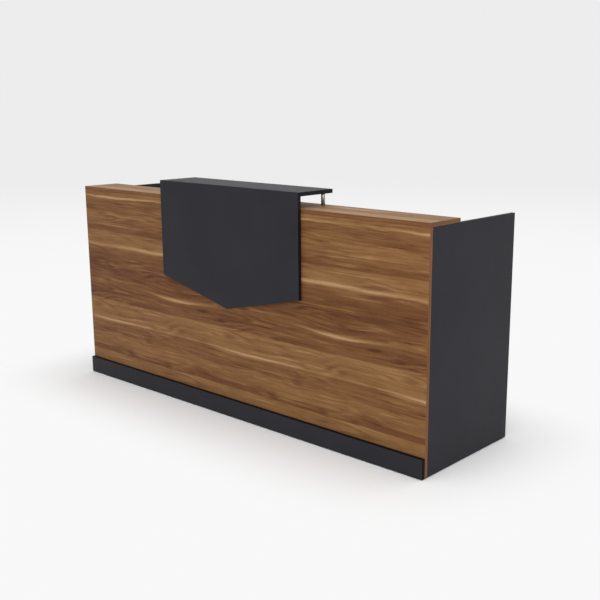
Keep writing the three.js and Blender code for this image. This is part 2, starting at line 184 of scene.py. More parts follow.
# Profiles as shares of a fixing's radius and rise.
SCREW_PROFILE = ((0.0, 0.0), (1.0, 0.0), (1.0, 0.3), (0.88, 0.75))
CAP_PROFILE = (
    (0.0, 0.0), (1.0, 0.0), (1.0, 0.3), (0.96, 0.55), (0.86, 0.78), (0.68, 0.91), (0.4, 0.98), (0.0, 1.0),
)
COLLAR_PROFILE = ((0.0, 0.0), (1.0, 0.0), (1.0, 0.6), (0.9, 1.0), (0.0, 1.0))

# A screw's flat crown as a share of its radius, and the cross recess in it: an arm's reach and half
# width as shares of the crown, and its floor's size and height as shares of the mouth's.
SCREW_CROWN = 0.62
CROSS_REACH, CROSS_HALF = 0.8, 0.2
PIT_SIZE, PIT_HEIGHT = 0.8, 0.35

# Sides of the round pieces that aren't posts or ports.
BAR_SIDES = 24
FIXING_SIDES = 32
CAP_SIDES = 48
FLOOR_SIDES = 96

ARRIS_STEPS = 3
ARRIS_ANGLE = 40  # edges that turn by more degrees than this are worked

# Suns, with their tilt from straight down and their turn about the vertical in degrees.
SUNS = {"key": (32, -8), "fill": (36, 70), "rear": (42, 170)}
SENSOR_WIDTH = 36  # of the camera, in millimetres

# Sockets of a Mix node that mixes colours.
MIX_SHARE, MIX_FIRST, MIX_SECOND, MIX_RESULT = 0, 6, 7, 2


def shade(red, green, blue):
    """A screen colour, 0 to 255, as the linear colour that the shaders take."""
    scaled = (channel / 255 for channel in (red, green, blue))
    return tuple(c / 12.92 if c <= 0.04045 else ((c + 0.055) / 1.055) ** 2.4 for c in scaled)


def length(name, description, default):
    return FloatProperty(name=name, description=description, default=default, unit="LENGTH", precision=5)


def colour(name, description, default):
    return FloatVectorProperty(
        name=name, description=description, default=default, subtype="COLOR", size=3, min=0, max=1
    )


def amount(name, description, default, **options):
    return FloatProperty(name=name, description=description, default=default, **options)


def position(name, description, default):
    return FloatVectorProperty(name=name, description=description, default=default, subtype="XYZ")


class DeskSizes(bpy.types.PropertyGroup):
    """Sizes of the worked edges and the hardware."""

    arris: length("Arris", "Radius worked on the edges of the boards", 0.001)
    rim_arris: length("Rim arris", "Radius on the rims of the drawer boxes", 0.0015)
    repeat_length: length("Repeat length", "Repeat of the walnut decor along the grain", 1.081)
    screw_head: length("Screw head", "Radius of a screw's head", 0.0042)
    screw_rise: length("Screw rise", "Height of a screw's head", 0.0022)
    cap_radius: length("Cover cap", "Radius of a cover cap over a joint fitting", 0.009)
    cap_rise: length("Cover cap rise", "Height of a cover cap above its panel", 0.0012)
    cap_setback: length("Cover cap setback", "Middle of a cover cap from the joint", 0.034)
    collar: length("Handle collar", "Radius of the collar at the foot of a handle", 0.0075)
    collar_rise: length("Collar rise", "Height of the collar at the foot of a handle", 0.0025)
    round_sides: IntProperty(name="Round sides", description="Sides of a post or port", default=64, min=12)


class DeskColours(bpy.types.PropertyGroup):
    """Colours of the finishes."""

    heart_dark: colour("Dark heartwood", "Darkest tone of the walnut", shade(82, 44, 23))
    heart: colour("Heartwood", "Common tone of the walnut", shade(110, 71, 40))
    tan: colour("Tan heartwood", "Paler tone of the walnut", shade(135, 97, 58))
    pale: colour("Pale wood", "Tone between tan heartwood and sapwood", shade(154, 116, 78))
    sapwood: colour("Sapwood", "Light streaks of the walnut", shade(177, 140, 104))
    edging_core: colour("Edging core", "Milled arris of the walnut edging", shade(128, 74, 40))
    charcoal: colour("Charcoal", "Faced board of the shell and riser", shade(41, 40, 45))
    charcoal_edge: colour("Charcoal edging", "Edging of the charcoal boards", shade(25, 24, 27))
    # The plinth's edging is darker than the charcoal edging. This is painted shade for the shadow where the
    # plinth meets the front panel.
    plinth_edge: colour("Plinth edging", "Dark edging of the plinth", shade(13, 12, 12))
    steel: colour("Polished steel", "Posts and handles", shade(162, 160, 158))
    zinc: colour("Zinc plate", "Brackets, screws and runners", shade(176, 180, 184))
    zinc_tint: colour("Zinc tint", "Passivated patches of the zinc plate", shade(168, 166, 156))
    drawer_grey: colour("Drawer grey", "Drawer boxes", shade(154, 155, 157))
    black: colour("Black plastic", "Cable ports, cover caps and glides", shade(26, 26, 28))
    floor: colour("Floor", "Floor under the desk", (0.95, 0.95, 0.95))
    floor_away: colour("Floor away", "Floor away from the desk", (0.94, 0.94, 0.94))
    backdrop: colour("Backdrop", "Background and the rim of the floor", (0.845, 0.845, 0.845))


class DeskStage(bpy.types.PropertyGroup):
    """Camera, light and floor."""

    lens: amount("Lens", "Focal length in millimetres", 54.08, subtype="DISTANCE_CAMERA")
    shift: amount("Shift", "Sideways shift of the frame", -0.0541)
    place: position("Camera", "Place of the camera", (3.1290, -3.1202, 1.5072))
    tilt: amount("Tilt", "Camera below the level", math.radians(12.5), subtype="ANGLE")
    turn: amount("Turn", "Camera turned from facing the rear", math.radians(41.365), subtype="ANGLE")
    ambient: amount("Ambient", "Strength of the light from all round", 0.62)
    key: amount("Key", "Strength of the light from the front", 0.55)
    fill: amount("Fill", "Strength of the light from the right", 0.25)
    rear: amount("Rear light", "Strength of the light from the rear", 0.4)
    panel: amount("Light panel", "Power of the panel at the front right, in watts", 48.0)
    panel_size: length("Light panel size", "Side of the panel at the front right", 2.0)
    panel_place: position("Light panel place", "Place of the panel at the front right", (3.2, -3.6, 2.6))
    softness: amount("Softness", "Width of the suns", math.radians(55), subtype="ANGLE")
    floor_radius: length("Floor radius", "Radius of the floor", 14.0)
    floor_fade: length("Floor fade", "Distance from the desk over which its shadow fades", 0.58)
    floor_dim: length("Floor dimming", "Distance at which the floor starts to turn into the backdrop", 3.0)


def sizes():
    return bpy.context.scene.desk_sizes


def colours():
    return bpy.context.scene.desk_colours


class Wiring:
    """Short calls that add nodes to one node tree."""

    def __init__(self, tree):
        self.tree = tree

    def put(self, value, socket):
        """Links an output to a socket, or sets a constant on it."""
        if isinstance(value, bpy.types.NodeSocket):
            self.tree.links.new(value, socket)
        else:
            socket.default_value = value

    def fill(self, sockets, inputs):
        for name, value in dict(inputs).items():
            self.put(value, sockets[name])

    def node(self, kind, inputs=(), **settings):
        node = self.tree.nodes.new(kind)
        for name, value in settings.items():
            setattr(node, name, value)
        self.fill(node.inputs, inputs)
        return node

    def math(self, operation, *values):
        return self.node("ShaderNodeMath", enumerate(values), operation=operation).outputs[0]

    def vector(self, operation, *values):
        return self.node("ShaderNodeVectorMath", enumerate(values), operation=operation).outputs[0]

    def add(self, first, *others):
        for other in others:
            first = self.math("ADD", first, other)
        return first

    def times(self, first, *others):
        for other in others:
            first = self.math("MULTIPLY", first, other)
        return first

    def point(self):
        return self.node("ShaderNodeTexCoord").outputs["Object"]

    def split(self, vector):
        return self.node("ShaderNodeSeparateXYZ", {"Vector": vector}).outputs

    def join(self, x, y, z):
        return self.node("ShaderNodeCombineXYZ", {"X": x, "Y": y, "Z": z}).outputs[0]

    def distance(self, vector):
        return self.node("ShaderNodeVectorMath", {0: vector}, operation="LENGTH").outputs["Value"]

    def scaled(self, vector, factors, offset=(0, 0, 0)):
        """A vector times three factors, or one for all axes, and then moved by an offset."""
        if isinstance(factors, (int, float)):
            factors = (factors,) * 3
        return self.vector("MULTIPLY_ADD", vector, factors, offset)

    def noise(self, vector, detail=2.0, roughness=0.5):
        inputs = {"Vector": vector, "Scale": 1.0, "Detail": detail, "Roughness": roughness}
        return self.node("ShaderNodeTexNoise", inputs).outputs["Fac"]

    def swing(self, vector, strength, detail=2.0, roughness=0.5):
        """Noise about zero, with this strength from its middle to its ends."""
        centred = self.math("SUBTRACT", self.noise(vector, detail, roughness), 0.5)
        return self.times(centred, 2 * strength)

    def patches(self, vector, low, high, detail=2.0, roughness=0.5):
        """Noise as patches, 0 where it is below low and 1 where it is above high."""
        return self.mask(self.noise(vector, detail, roughness), low, high)

    def mask(self, value, low, high):
        """0 below low, 1 above high, with a smooth change between."""
        inputs = {"Value": value, "From Min": low, "From Max": high}
        return self.node("ShaderNodeMapRange", inputs, interpolation_type="SMOOTHSTEP").outputs["Result"]

    def hump(self, value, width):
        """1 where value is 0, falling off as a bell of this width."""
        share = self.math("DIVIDE", value, width)
        return self.math("EXPONENT", self.times(share, share, -1.0))

    def from_middle(self, value, middle, period):
        """Offset of a value from the nearest of the middles that come round after each period."""
        return self.math("WRAP", self.math("SUBTRACT", value, middle), period / 2, -period / 2)

    def ramp(self, value, stops):
        ramp = self.node("ShaderNodeValToRGB", {"Fac": value})
        elements = ramp.color_ramp.elements
        for _ in stops[len(elements):]:
            elements.new(0.5)
        for element, (position, tint) in zip(elements, stops):
            element.position = position
            element.color = opaque(tint)
        return ramp.outputs["Color"]

    def blend(self, share, first, second):
        inputs = {MIX_SHARE: share, MIX_FIRST: opaque(first), MIX_SECOND: opaque(second)}
        return self.node("ShaderNodeMix", inputs, data_type="RGBA").outputs[MIX_RESULT]

    def bump(self, height, depth, strength):
        inputs = {"Height": height, "Distance": depth, "Strength": strength}
        return self.node("ShaderNodeBump", inputs).outputs[0]

    def seen_directly(self):
        """1 for the rays that show a surface, and 0 for those that carry its light to other pieces."""
        rays = self.node("ShaderNodeLightPath").outputs
        direct = self.math("MAXIMUM", rays["Is Camera Ray"], rays["Is Glossy Ray"])
        return self.math("MAXIMUM", direct, rays["Is Transmission Ray"])


def opaque(tint):
    return (*tint, 1.0)


def times_tint(factor, tint):
    """A colour made darker or lighter, up to white."""
    return tuple(min(1.0, factor * channel) for channel in tint)


def as_finish(wire):
    """Turns a function that wires a finish into one that gives its material, made at the first call."""

    @functools.wraps(wire)
    def finish(*axes):
        # The frame's own materials have the plain names of the slots.
        name = "_".join((wire.__name__, *("xyz"[axis] for axis in axes), "finish"))
        material = bpy.data.materials.get(name)
        if material is None:
            material = bpy.data.materials.new(name)
            material.use_nodes = True
            shader = material.node_tree.nodes["Principled BSDF"].inputs
            wire(Wiring(material.node_tree), shader, *axes)
        return material

    return finish


def palette():
    tints = colours()
    tones = (tints.heart_dark, tints.heart, tints.tan, tints.pale, tints.sapwood)
    return [(index / (len(tones) - 1), tint) for index, tint in enumerate(tones)]


def stave_stops():
    """The staves as stops of a grey ramp, two for each stave, and the height of one repeat."""
    repeat = sum(width for width, upper, lower in STAVES)
    stops = []
    drop = 0.0
    for width, upper, lower in STAVES:
        for inset, tone in ((STAVE_SEAM, upper), (width - STAVE_SEAM, lower)):
            stops.append(((drop + inset) / repeat, (tone,) * 3))
        drop += width
    return stops, repeat


@as_finish
def walnut_face(w, shader, across_axis):
    """Crown-cut walnut decor, with its grain along X and its staves stacked along across_axis."""
    axes = w.split(w.point())
    along, across = axes[X], axes[across_axis]
    repeat = sizes().repeat_length
    stops, rise = stave_stops()

    # A ring of one repeat's length, so that the decor comes round again along the grain.
    radius = repeat / (2 * math.pi)
    angle = w.math("DIVIDE", along, radius)
    ring_x = w.times(w.math("COSINE", angle), radius)
    ring_y = w.times(w.math("SINE", angle), radius)
    flat = w.join(ring_x, ring_y, across)

    # Grain lines wander, and they sag round the pale streaks.
    bells = [w.hump(w.from_middle(along, pale.along, repeat), pale.span) for pale in PALE_STREAKS]
    sags = []
    for bell, pale in zip(bells, PALE_STREAKS):
        near = w.hump(w.from_middle(across, pale.height, rise), pale.reach)
        sags.append(w.times(bell, near, pale.sag))
    wander = w.swing(w.scaled(flat, (3, 3, 7)), 0.005)
    ripple = w.swing(w.scaled(flat, (9, 9, 40), (3, 1, 2)), 0.0035)
    bent = w.add(across, *sags, wander, ripple)
    grain = w.join(ring_x, ring_y, bent)

    drop = w.math("FRACT", w.math("DIVIDE", w.math("SUBTRACT", STAVE_TOP, bent), rise))
    tone = w.ramp(drop, stops)

    # Broad clouds and a wavy figure, then finer fibres, streaks, wisps, stains and pores.
    cloud = w.swing(w.scaled(grain, (3.5, 3.5, 17), (7, 0, 0)), 0.20, detail=3)
    lines = w.noise(w.scaled(grain, (1.6, 1.6, 13), (0, 5, 0)), roughness=0.45)
    wave = w.math("SINE", w.times(lines, 64.0))
    figured = w.patches(w.scaled(flat, (3, 3, 11), (0, 0, 4)), 0.44, 0.66)
    figure = w.times(wave, figured, 0.12)
    fibre = w.swing(w.scaled(grain, (7, 7, 300), (0, 2, 0)), 0.24, detail=4, roughness=0.6)
    streak = w.swing(w.scaled(grain, (2.2, 2.2, 75), (4, 0, 3)), 0.20, detail=3, roughness=0.6)
    wisps = w.patches(w.scaled(grain, (3.2, 3.2, 88), (2, 6, 1)), 0.55, 0.74, detail=3, roughness=0.55)
    stains = w.patches(w.scaled(grain, (6, 6, 60), (1, 9, 0)), 0.56, 0.76, detail=3, roughness=0.55)
    pores = w.patches(w.scaled(grain, (55, 55, 1700)), 0.60, 0.72, detail=1)
    marks = (w.times(wisps, WISP_TONE), w.times(stains, STAIN_TONE), w.times(pores, PORE_TONE))

    pale_lines = []
    for bell, pale in zip(bells, PALE_STREAKS):
        width = w.math("MULTIPLY_ADD", bell, pale.width, STREAK_TIP)
        line = w.hump(w.from_middle(bent, pale.height, rise), width)
        pale_lines.append(w.times(line, bell, pale.tone))
    knot_along = w.hump(w.from_middle(along, KNOT_ALONG, repeat), KNOT_SPAN)
    knot_across = w.hump(w.from_middle(bent, KNOT_HEIGHT, rise), KNOT_WIDTH)
    knot = w.times(knot_along, knot_across, KNOT_TONE)

    total = w.add(tone, cloud, figure, fibre, streak, *marks, knot, *pale_lines)
    # Lying boards get a lighter tone, which is painted top light standing in for the light from above.
    if across_axis == Y:
        total = w.add(total, PAINTED_TOP_LIGHT)
    rubbed = w.swing(w.scaled(flat, 90), 0.03)
    relief = w.add(fibre, w.times(pores, -0.7))
    w.fill(shader, {
        "Base Color": w.ramp(total, palette()),
        "Roughness": w.add(0.50, w.times(pores, 0.12), rubbed),
        "Normal": w.bump(relief, 0.00012, 0.5),
        "Specular IOR Level": 0.13,
    })


@as_finish
def walnut_edging(w, shader, thickness_axis):
    """Printed edging with its grain along the edges of a board."""
    coarse, fine = [5.0] * 3, [9.0] * 3
    coarse[thickness_axis], fine[thickness_axis] = 260.0, 900.0
    point = w.point()
    bands = w.swing(w.scaled(point, coarse), 0.34, detail=3, roughness=0.55)
    fibre = w.swing(w.scaled(point, fine), 0.2, detail=3, roughness=0.6)
    w.fill(shader, {
        "Base Color": w.ramp(w.add(EDGING_TONE, bands, fibre), palette()),
        "Roughness": w.add(0.48, w.times(fibre, 0.25)),
        "Normal": w.bump(fibre, 0.00006, 0.4),
        "Specular IOR Level": 0.20,
    })


@as_finish
def walnut_arris(w, shader):
    """Milled corner of the edging, where its solid core shows."""
    core = colours().edging_core
    scuffs = w.patches(w.scaled(w.point(), 40), 0.45, 0.75, detail=4, roughness=0.65)
    w.fill(shader, {
        "Base Color": w.blend(scuffs, core, times_tint(1.35, core)),
        "Roughness": w.add(0.42, w.times(scuffs, 0.2)),
        "Specular IOR Level": 0.16,
    })


@as_finish
def charcoal_face(w, shader):
    """Faced board with a fine pearl texture and a satin sheen."""
    tint = colours().charcoal
    point = w.point()
    cloud = w.noise(w.scaled(point, 4), detail=3)
    grains = w.noise(w.scaled(point, 1500))
    speck = w.add(w.times(cloud, 0.55), w.times(grains, 0.45))
    rubbed = w.swing(w.scaled(point, 22), 0.05, detail=4, roughness=0.6)
    pearl = w.noise(w.scaled(point, 700, (5, 5, 5)), detail=3, roughness=0.6)
    shades = [(0.3, times_tint(0.86, tint)), (0.5, tint), (0.7, times_tint(1.16, tint))]
    w.fill(shader, {
        "Base Color": w.ramp(speck, shades),
        "Roughness": w.add(0.45, rubbed, w.times(grains, 0.06)),
        "Normal": w.bump(pearl, 0.00006, 0.35),
        "Specular IOR Level": 0.11,
    })


@as_finish
def charcoal_edging(w, shader):
    """Edging and milled arrises of the charcoal boards, rubbed paler in places."""
    tint = colours().charcoal_edge
    point = w.point()
    scuffs = w.patches(w.scaled(point, 60), 0.5, 0.8, detail=4, roughness=0.7)
    w.fill(shader, {
        "Base Color": w.blend(w.times(scuffs, 0.6), tint, times_tint(1.5, tint)),
        "Roughness": w.add(0.48, w.times(scuffs, 0.15)),
        "Normal": w.bump(w.noise(w.scaled(point, 900)), 0.00004, 0.3),
        "Specular IOR Level": 0.12,
    })


@as_finish
def plinth_edging(w, shader):
    """Dull black edging of the plinth, scuffed by shoes. It is darker than the other edging as painted shade
    where the plinth meets the front panel.
    """
    tint = colours().plinth_edge
    point = w.point()
    scuffs = w.patches(w.scaled(point, (25, 60, 60)), 0.55, 0.8, detail=4, roughness=0.7)
    w.fill(shader, {
        "Base Color": w.blend(scuffs, tint, times_tint(2.2, tint)),
        "Roughness": w.add(0.6, w.times(scuffs, 0.15)),
        "Normal": w.bump(w.noise(w.scaled(point, 900)), 0.00004, 0.3),
        "Specular IOR Level": 0.08,
    })


@as_finish
def polished_steel(w, shader):
    """Turned and polished steel, with faint rings of the last cut and finger marks."""
    tint = colours().steel
    point = w.point()
    marks = w.patches(w.scaled(point, 70), 0.45, 0.75, detail=4, roughness=0.6)
    rings = w.noise(w.scaled(point, (30, 30, 2600)))
    w.fill(shader, {
        "Base Color": w.blend(marks, tint, times_tint(0.82, tint)),
        "Roughness": w.add(0.12, w.times(marks, 0.10), w.times(rings, 0.06)),
        "Normal": w.bump(rings, 0.00002, 0.3),
        "Metallic": 1.0,
    })


@as_finish
def zinc_steel(w, shader):
    """Rolled steel with a passivated zinc plate."""
    tints = colours()
    point = w.point()
    patches = w.patches(w.scaled(point, 55), 0.4, 0.65, detail=4, roughness=0.6)
    rolled = w.noise(w.scaled(point, (900, 14, 900)), detail=3, roughness=0.6)
    w.fill(shader, {
        "Base Color": w.blend(patches, tints.zinc, tints.zinc_tint),
        "Roughness": w.add(0.26, w.times(patches, 0.12), w.times(rolled, 0.12)),
        "Normal": w.bump(rolled, 0.00003, 0.4),
        "Metallic": 1.0,
    })


@as_finish
def drawer_grey(w, shader):
    """Grey faced board of the drawer boxes."""
    tint = colours().drawer_grey
    point = w.point()
    weave = w.noise(w.scaled(point, (260, 900, 900)), detail=3, roughness=0.6)
    cloud = w.noise(w.scaled(point, 9), detail=3)
    mixed = w.add(w.times(weave, 0.7), w.times(cloud, 0.4))
    w.fill(shader, {
        "Base Color": w.ramp(mixed, [(0.35, times_tint(0.88, tint)), (0.75, tint)]),
        "Roughness": w.add(0.48, w.times(weave, 0.15)),
        "Normal": w.bump(weave, 0.00006, 0.4),
    })


@as_finish
def black_plastic(w, shader):
    """Moulded plastic with a spark-eroded texture."""
    tint = colours().black
    point = w.point()
    pits = w.noise(w.scaled(point, 1300), roughness=0.6)
    scuffs = w.patches(w.scaled(point, 120), 0.55, 0.8, detail=4, roughness=0.7)
    w.fill(shader, {
        "Base Color": w.blend(w.times(scuffs, 0.5), tint, times_tint(1.7, tint)),
        "Roughness": w.add(0.42, w.times(pits, 0.2)),
        "Normal": w.bump(pits, 0.00008, 0.5),
    })


def walnut_board(axis):
    """The slot of a board of this thickness axis, and the finishes of its faces, edges and arrises."""
    return "walnut_board", [walnut_face(Z if axis == Y else Y), walnut_edging(axis), walnut_arris()]


def charcoal_board(_axis):
    return "charcoal_board", [charcoal_face(), charcoal_edging(), charcoal_edging()]


def plinth_board(_axis):
    return "charcoal_board", [charcoal_face(), plinth_edging(), plinth_edging()]


def settle(piece, body, slot, *nodes):
    """Rides a piece on its body, and lets it stand for its solids."""
    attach(piece, body)
    if nodes:
        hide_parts(*nodes)
    return piece


def make_piece(name, solid, finishes, spot=(0, 0, 0)):
    """An object from a bmesh, which is used up."""
    bmesh.ops.recalc_face_normals(solid, faces=solid.faces)
    mesh = bpy.data.meshes.new(name)
    solid.to_mesh(mesh)
    solid.free()
    for finish in finishes:
        mesh.materials.append(finish)
    piece = bpy.data.objects.new(name, mesh)
    piece.location = spot
    bpy.context.scene.collection.objects.link(piece)
    return piece


def work_edges(piece, radius, finish=-1):
    """Rounds the sharp edges of a piece, in one of its finishes or, with -1, in those of its faces."""
    for face in piece.data.polygons:
        face.use_smooth = True
    bevel = piece.modifiers.new("worked edges", "BEVEL")
    bevel.width = radius
    bevel.segments = ARRIS_STEPS
    bevel.limit_method = "ANGLE"
    bevel.angle_limit = math.radians(ARRIS_ANGLE)
    bevel.harden_normals = True
    bevel.material = finish


def smooth_below(piece, degrees):
    """Smooth shading, apart from the edges that turn by more than this angle."""
    for face in piece.data.polygons:
        face.use_smooth = True
    piece.data.set_sharp_from_angle(angle=math.radians(degrees))


def foot_of(node):
    """Middle of the underside of a solid's box."""
    low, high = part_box(node)
    foot = (low + high) / 2
    foot.z = low.z
    return foot


def bridge(solid, under, over):
    """Quads between two closed loops of as many points. A loop's repeated point makes triangles."""
    for index in range(len(under)):
        after = (index + 1) % len(under)
        corners = dict.fromkeys((under[index], under[after], over[after], over[index]))
        if len(corners) > 2:
            solid.faces.new(tuple(corners))


def slab(loops, axis, low, high):
    """A flat piece between two levels of an axis. The first loop is its outline, the rest are holes."""
    solid = bmesh.new()
    levels = []
    for level in (low, high):
        edges = []
        for loop in loops:
            points = [solid.verts.new((*pair[:axis], level, *pair[axis:])) for pair in loop]
            levels.append(points)
            edges += [solid.edges.new((a, b)) for a, b in zip(points, points[1:] + points[:1])]
        if len(loops) == 1:
            solid.faces.new(points)
        else:
            bmesh.ops.triangle_fill(solid, edges=edges, use_beauty=True)
    flat = set(solid.faces)
    for under, over in zip(levels[: len(loops)], levels[len(loops):]):
        bridge(solid, under, over)
    for face in solid.faces:
        face.material_index = FACE if face in flat else EDGE
    return solid


def ring(centre, radius, count):
    turns = [2 * math.pi * step / count for step in range(count)]
    return [(centre[0] + radius * math.cos(t), centre[1] + radius * math.sin(t)) for t in turns]


def dress_board(node, axis, board, body="desk", outline=None, holes=()):
    """A board with faces, edging and worked arrises, in the place of its solid."""
    low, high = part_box(node)
    if outline is None:
        (u0, u1), (v0, v1) = ((low[a], high[a]) for a in range(3) if a != axis)
        outline = [(u0, v0), (u1, v0), (u1, v1), (u0, v1)]
    solid = slab([outline, *holes], axis, low[axis], high[axis])
    slot, finishes = board(axis)
    piece = make_piece(f"{node}_board", solid, finishes)
    work_edges(piece, sizes().arris, finish=ARRIS)
    return settle(piece, body, slot, node)


def turned(profile, sides):
    """A round solid about Z from [radius, height] points. Ends on the axis are closed."""
    solid = bmesh.new()
    rings = []
    for radius, height in profile:
        if radius == 0:
            rings.append([solid.verts.new((0, 0, height))] * sides)
        else:
            rings.append([solid.verts.new((x, y, height)) for x, y in ring((0, 0), radius, sides)])
    for under, over in zip(rings, rings[1:]):
        bridge(solid, under, over)
    return solid


def turned_to(profile, radius, rise, sides):
    """A round solid from a profile of shares."""
    return turned([(radius * out, rise * up) for out, up in profile], sides)


class DeskOperator(bpy.types.Operator):
    """Shared settings of the operators."""

    bl_options = {"REGISTER", "UNDO"}


class DESK_OT_shell(DeskOperator):
    """Dress the front panel, the end panels, the counter cap and the plinth."""

    bl_idname = "desk.shell"
    bl_label = "Shell"

    def execute(self, context):
        dress_board("front_panel", Y, walnut_board)
        dress_board("counter_cap", Z, walnut_board)
        for side in SIDES:
            dress_board(f"{side}_end_panel", X, charcoal_board)
        dress_board("plinth", Y, plinth_board)
        return {"FINISHED"}


class DESK_OT_riser(DeskOperator):
    """Dress the raised shelf, its pointed hanging front and the two posts."""

    bl_idname = "desk.riser"
    bl_label = "Riser"

    def execute(self, context):
        low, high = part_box("riser_front")
        corner = min(v.co.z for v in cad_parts["riser_front"].data.vertices if v.co.x < low.x + NEAR)
        outline = [
            (low.x, corner),
            ((low.x + high.x) / 2, low.z),
            (high.x, corner),
            (high.x, high.z),
            (low.x, high.z),
        ]
        dress_board("riser_front", Y, charcoal_board, outline=outline)
        dress_board("riser_top", Z, charcoal_board)
        for side in SIDES:
            self.dress_post(side)
        return {"FINISHED"}

    def dress_post(self, side):
        low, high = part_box(f"riser_post_{side}")
        radius = (high.x - low.x) / 2
        rise = high.z - low.z
        step = POST_EASE / 3
        foot = [
            (radius - POST_EASE, 0),
            (radius - 2 * step, step / 2),
            (radius - step / 2, 2 * step),
            (radius, POST_EASE),
        ]
        head = [(r, rise - z) for r, z in reversed(foot)]
        solid = turned([(0, 0), *foot, *head, (0, rise)], sizes().round_sides)
        post = make_piece(f"post_{side}", solid, [polished_steel()], foot_of(f"riser_post_{side}"))
        smooth_below(post, degrees=50)
        settle(post, "desk", "polished_steel", f"riser_post_{side}")


class DESK_OT_worktop(DeskOperator):
    """Dress the worktop, the counter dividers and the support panel."""

    bl_idname = "desk.worktop"
    bl_label = "Worktop"

    def execute(self, context):
        holes = []
        for side in SIDES:
            bore = sleeve_radius(side) + BORE_PLAY
            holes.append(ring(foot_of(f"port_liner_{side}"), bore, sizes().round_sides)[::-1])
        dress_board("worktop", Z, walnut_board, holes=holes)
        for spot in ("left", "centre", "right"):
            dress_board(f"divider_{spot}", X, charcoal_board)
        dress_board("support_panel", X, charcoal_board)
        return {"FINISHED"}


def sleeve_radius(side):
    """Outer radius of a port liner below its flange."""
    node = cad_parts[f"port_liner_{side}"]
    foot = foot_of(f"port_liner_{side}")
    rim = [v.co for v in node.data.vertices if v.co.z < foot.z + NEAR]
    return max(math.hypot(p.x - foot.x, p.y - foot.y) for p in rim)


class DESK_OT_ports(DeskOperator):
    """Dress the cable ports: flanged liners and the notched lids that turn in them."""

    bl_idname = "desk.ports"
    bl_label = "Cable ports"

    def execute(self, context):
        for side in SIDES:
            self.dress_liner(side)
            self.dress_lid(side)
        return {"FINISHED"}

    def dress_liner(self, side):
        low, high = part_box(f"port_liner_{side}")
        top = high.z - low.z
        outer = sleeve_radius(side)
        inner = outer - LINER_WALL
        rim = (high.x - low.x) / 2
        flange = top - FLANGE_RISE
        ledge = top - LEDGE_DROP
        profile = [
            (inner, 0),
            (outer, 0),
            (outer, flange),
            (rim - FLANGE_EASE, flange),
            (rim, flange + FLANGE_EASE),
            *((rim - inset, top - drop) for inset, drop in RIM_ROUND),
            (inner + MOUTH_EASE, top),
            (inner, top - MOUTH_EASE),
            (inner, ledge),
            (inner - LEDGE_REACH, ledge),
            (inner - LEDGE_REACH, ledge - LEDGE_DEPTH),
            (inner, ledge - LEDGE_DEPTH),
            (inner, 0),
        ]
        solid = turned(profile, sizes().round_sides)
        liner = make_piece(f"liner_{side}", solid, [black_plastic()], foot_of(f"port_liner_{side}"))
        smooth_below(liner, degrees=35)
        settle(liner, "desk", "black_plastic", f"port_liner_{side}")

    def dress_lid(self, side):
        low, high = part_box(f"port_lid_{side}")
        centre = foot_of(f"port_liner_{side}")
        radius = (high.x - low.x) / 2
        notch_middle = NOTCH_DEPTH - NOTCH_RADIUS - radius
        mouth = math.asin(NOTCH_RADIUS / radius)
        count = sizes().round_sides
        start, sweep = mouth - math.pi / 2, 2 * math.pi - 2 * mouth
        outline = []
        for step in range(count + 1):
            turn = start + sweep * step / count
            outline.append((radius * math.cos(turn), radius * math.sin(turn)))
        for step in range(NOTCH_STEPS + 1):
            turn = math.pi - math.pi * step / NOTCH_STEPS
            outline.append((NOTCH_RADIUS * math.cos(turn), notch_middle + NOTCH_RADIUS * math.sin(turn)))
        solid = slab([outline], Z, 0, high.z - low.z)
        lid = make_piece(f"lid_{side}", solid, [black_plastic()] * 2, (centre.x, centre.y, low.z))
        work_edges(lid, LID_ARRIS)
        settle(lid, f"{side}_lid", "black_plastic", f"port_lid_{side}")


class DESK_OT_bank(DeskOperator):
    """Dress the carcass of the drawer bank."""

    bl_idname = "desk.bank"
    bl_label = "Drawer bank"

    def execute(self, context):
        carcass = {
            "pedestal_side": X,
            "pedestal_base": Z,
            "pedestal_back": Y,
            "pedestal_rail_front": Z,
            "pedestal_rail_rear": Z,
        }
        for node, axis in carcass.items():
            dress_board(node, axis, charcoal_board)
        return {"FINISHED"}


